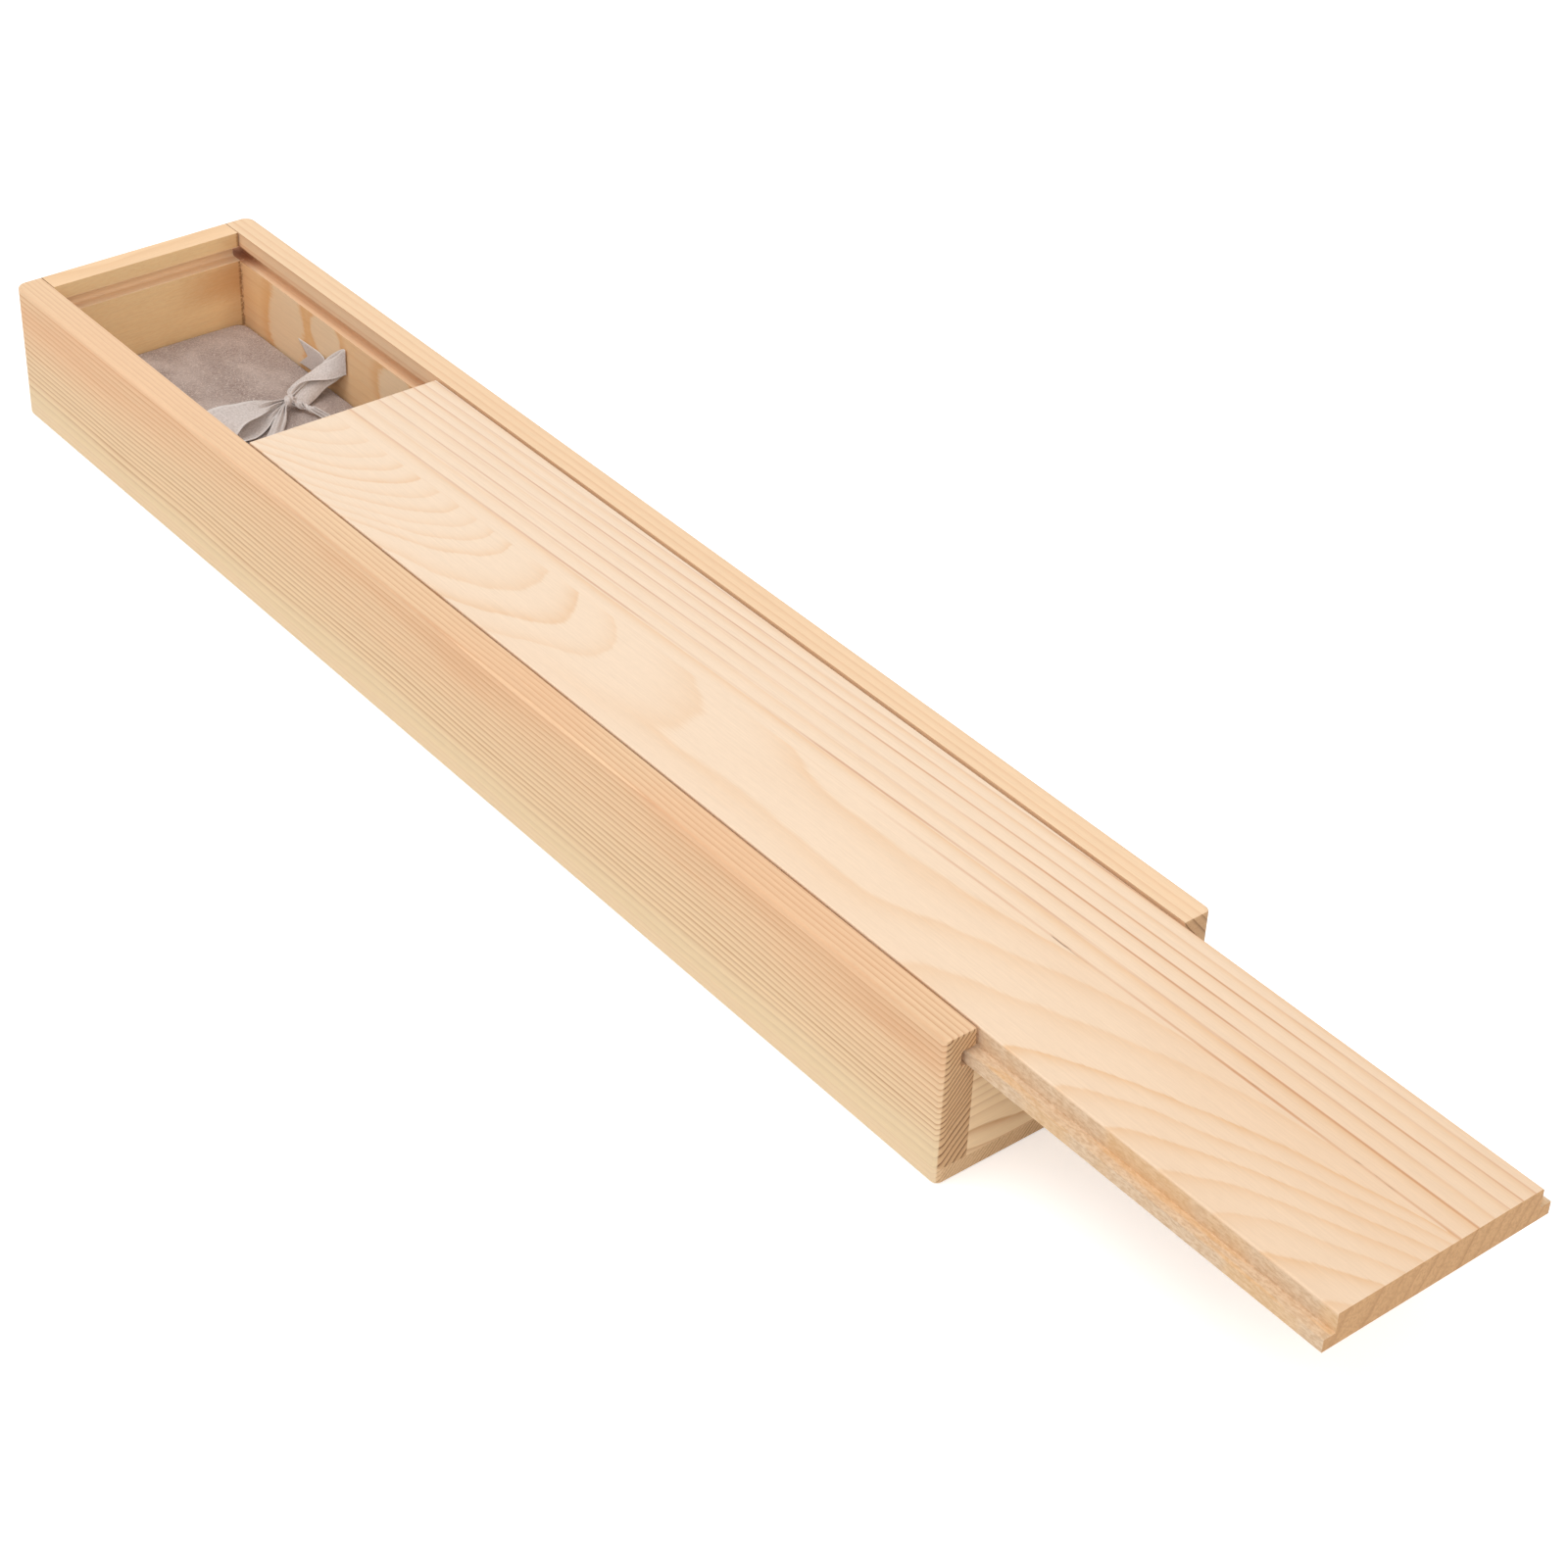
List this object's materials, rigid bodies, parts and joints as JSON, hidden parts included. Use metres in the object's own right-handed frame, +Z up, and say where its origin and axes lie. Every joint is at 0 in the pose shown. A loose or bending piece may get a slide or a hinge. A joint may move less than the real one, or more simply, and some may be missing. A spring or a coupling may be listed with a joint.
{
  "type": "sliding lid wooden box",
  "caption": "Long narrow pine keepsake box with a lid that slides in grooves, a velvet pad inside and a ribbon tied in a bow.",
  "frame": {"origin": "centre of the underside, on the surface the box stands on", "axes": "+Z up, +Y along the length towards the closed far end, +X to the right-hand side"},
  "size_m": [0.085, 0.565, 0.045],
  "materials": {
    "pine_base": "sanded, unvarnished",
    "pine_sides": "planed, unvarnished",
    "pine_ends": "planed, unvarnished",
    "pine_lid": "planed, unvarnished",
    "velvet": "short speckled nap",
    "filling": "matt wadding",
    "ribbon": "fine weave with a soft sheen"
  },
  "bodies": {
    "box": {"bottom_board": "pine_base", "left_side": "pine_sides", "right_side": "pine_sides", "far_end": "pine_ends", "near_end": "pine_ends", "pad_cover": "velvet", "pad_core": "filling", "ribbon_bow": "ribbon"},
    "lid": {"lid": "pine_lid"}
  },
  "joints": [
    {"name": "lid_slide", "type": "slide", "parent": "box", "child": "lid", "axis": [0, -1, 0], "range_m": [-0.115, 0.335]}
  ]
}
